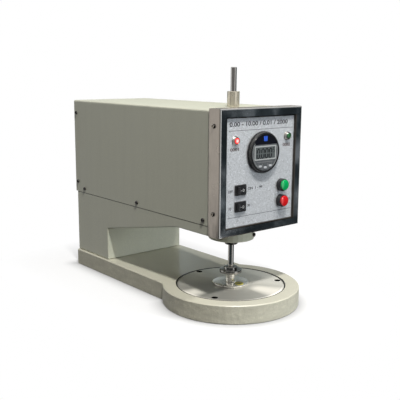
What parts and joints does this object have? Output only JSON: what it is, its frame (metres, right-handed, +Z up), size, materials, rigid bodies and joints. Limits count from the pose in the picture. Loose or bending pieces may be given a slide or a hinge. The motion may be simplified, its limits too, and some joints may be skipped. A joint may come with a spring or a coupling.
{
  "type": "fabric thickness tester",
  "caption": "Bench fabric thickness tester: keyhole base with a round steel anvil, cast arm, framed panel with a digital indicator, and a motor lifted weighted presser foot.",
  "frame": {"origin": "centre of the bounding box at the table surface, under the base", "axes": "+Z up along the measuring spindle, front with the panel and anvil towards -Y, the object's right side towards +X"},
  "size_m": [0.1914, 0.4024, 0.3241],
  "materials": {
    "base_paint": "satin cream machine paint",
    "body_paint": "satin grey beige machine paint",
    "polished_steel": "polished, mirror like",
    "ground_steel": "fine ground",
    "blackened_steel": "blackened, satin",
    "panel_silver": "fine grained silver",
    "black_plastic": "fine satin black",
    "display": "reflective grey green display pane",
    "key_grey": "light grey",
    "lens_red": "clear red, glossy",
    "lens_green": "clear dark green, glossy",
    "button_red": "glossy",
    "button_green": "glossy",
    "circuit_board": "green board with parts",
    "motor_grey": "satin"
  },
  "bodies": {
    "body": {"base_casting": "base_paint", "anvil_plate": "ground_steel", "anvil_screw_1": "blackened_steel", "anvil_screw_2": "blackened_steel", "anvil_screw_3": "blackened_steel", "arm_casting": "body_paint", "nose_screw_1": "blackened_steel", "nose_screw_2": "blackened_steel", "top_cover": "body_paint", "cover_screw_1": "blackened_steel", "cover_screw_2": "blackened_steel", "cover_screw_3": "blackened_steel", "cover_screw_4": "blackened_steel", "cover_screw_5": "blackened_steel", "cover_screw_6": "blackened_steel", "cover_screw_7": "blackened_steel", "cover_screw_8": "blackened_steel", "cover_screw_9": "blackened_steel", "cover_screw_10": "blackened_steel", "frame_screw_1": "blackened_steel", "frame_screw_2": "blackened_steel", "frame_screw_3": "blackened_steel", "frame_screw_4": "blackened_steel", "rear_panel": "body_paint", "front_frame": "polished_steel", "instrument_panel": "panel_silver", "indicator_case": "black_plastic", "power_lamp_bezel": "polished_steel", "power_lamp_lens": "lens_red", "ready_lamp_bezel": "polished_steel", "ready_lamp_lens": "lens_green", "mode_switch_body": "black_plastic", "time_switch_body": "black_plastic", "start_button_body": "black_plastic", "stop_button_body": "black_plastic", "top_bush": "polished_steel", "lower_bush": "blackened_steel", "guide_bracket": "ground_steel", "gear_motor": "motor_grey", "control_board": "circuit_board", "mains_inlet": "black_plastic"},
    "measuring_spindle": {"spindle": "polished_steel", "presser_foot": "polished_steel", "weight_collar": "polished_steel", "collar_screw": "blackened_steel", "lift_arm": "ground_steel"},
    "cam": {"lift_cam": "ground_steel"},
    "roller": {"cam_roller": "polished_steel"},
    "plunger": {"indicator_plunger": "polished_steel"},
    "dial": {"indicator_face": "black_plastic", "indicator_window": "display"},
    "key_1": {"indicator_key_1": "key_grey"},
    "key_2": {"indicator_key_2": "key_grey"},
    "key_3": {"indicator_key_3": "key_grey"},
    "mode_switch": {"mode_rocker": "black_plastic"},
    "time_switch": {"time_rocker": "black_plastic"},
    "power_switch": {"power_rocker": "black_plastic"},
    "start_button": {"start_button_cap": "button_green"},
    "stop_button": {"stop_button_cap": "button_red"}
  },
  "joints": [
    {"name": "cam_turn", "type": "hinge", "parent": "body", "child": "cam", "pos_m": [0, -0.07612, 0.146], "axis": [0, 1, 0], "range_deg": [0, 300]},
    {"name": "spindle_slide", "type": "slide", "parent": "body", "child": "measuring_spindle", "axis": [0, 0, 1], "range_m": [0, 0.012]},
    {"name": "roller_spin", "type": "hinge", "parent": "measuring_spindle", "child": "roller", "pos_m": [0, -0.07642, 0.1683], "axis": [0, 1, 0], "continuous": true},
    {"name": "plunger_slide", "type": "slide", "parent": "body", "child": "plunger", "axis": [0, 0, 1], "range_m": [0, 0.012]},
    {"name": "dial_turn", "type": "hinge", "parent": "body", "child": "dial", "pos_m": [0.0022, -0.16552, 0.2157], "axis": [0, 1, 0], "range_deg": [-135, 135]},
    {"name": "key_1_press", "type": "slide", "parent": "dial", "child": "key_1", "axis": [0, 1, 0], "range_m": [0, 0.0006], "stiffness_N_per_m": 300, "springref_m": -0.0003},
    {"name": "key_2_press", "type": "slide", "parent": "dial", "child": "key_2", "axis": [0, 1, 0], "range_m": [0, 0.0006], "stiffness_N_per_m": 300, "springref_m": -0.0003},
    {"name": "key_3_press", "type": "slide", "parent": "dial", "child": "key_3", "axis": [0, 1, 0], "range_m": [0, 0.0006], "stiffness_N_per_m": 300, "springref_m": -0.0003},
    {"name": "mode_rock", "type": "hinge", "parent": "body", "child": "mode_switch", "pos_m": [-0.0358, -0.16022, 0.1698], "axis": [0, 0, -1], "range_deg": [0, 20]},
    {"name": "time_rock", "type": "hinge", "parent": "body", "child": "time_switch", "pos_m": [-0.0358, -0.16022, 0.1482], "axis": [0, 0, -1], "range_deg": [0, 20]},
    {"name": "power_rock", "type": "hinge", "parent": "body", "child": "power_switch", "pos_m": [0.036, 0.19578, 0.1914], "axis": [0, 0, 1], "range_deg": [0, 20]},
    {"name": "start_press", "type": "slide", "parent": "body", "child": "start_button", "axis": [0, 1, 0], "range_m": [0, 0.0025], "stiffness_N_per_m": 400, "springref_m": -0.002},
    {"name": "stop_press", "type": "slide", "parent": "body", "child": "stop_button", "axis": [0, 1, 0], "range_m": [0, 0.0025], "stiffness_N_per_m": 400, "springref_m": -0.002}
  ],
  "couplings": [
    {"joint": "cam_turn", "follows": "spindle_slide", "rad_per_m": 436.33},
    {"joint": "plunger_slide", "follows": "spindle_slide", "ratio": 1}
  ]
}
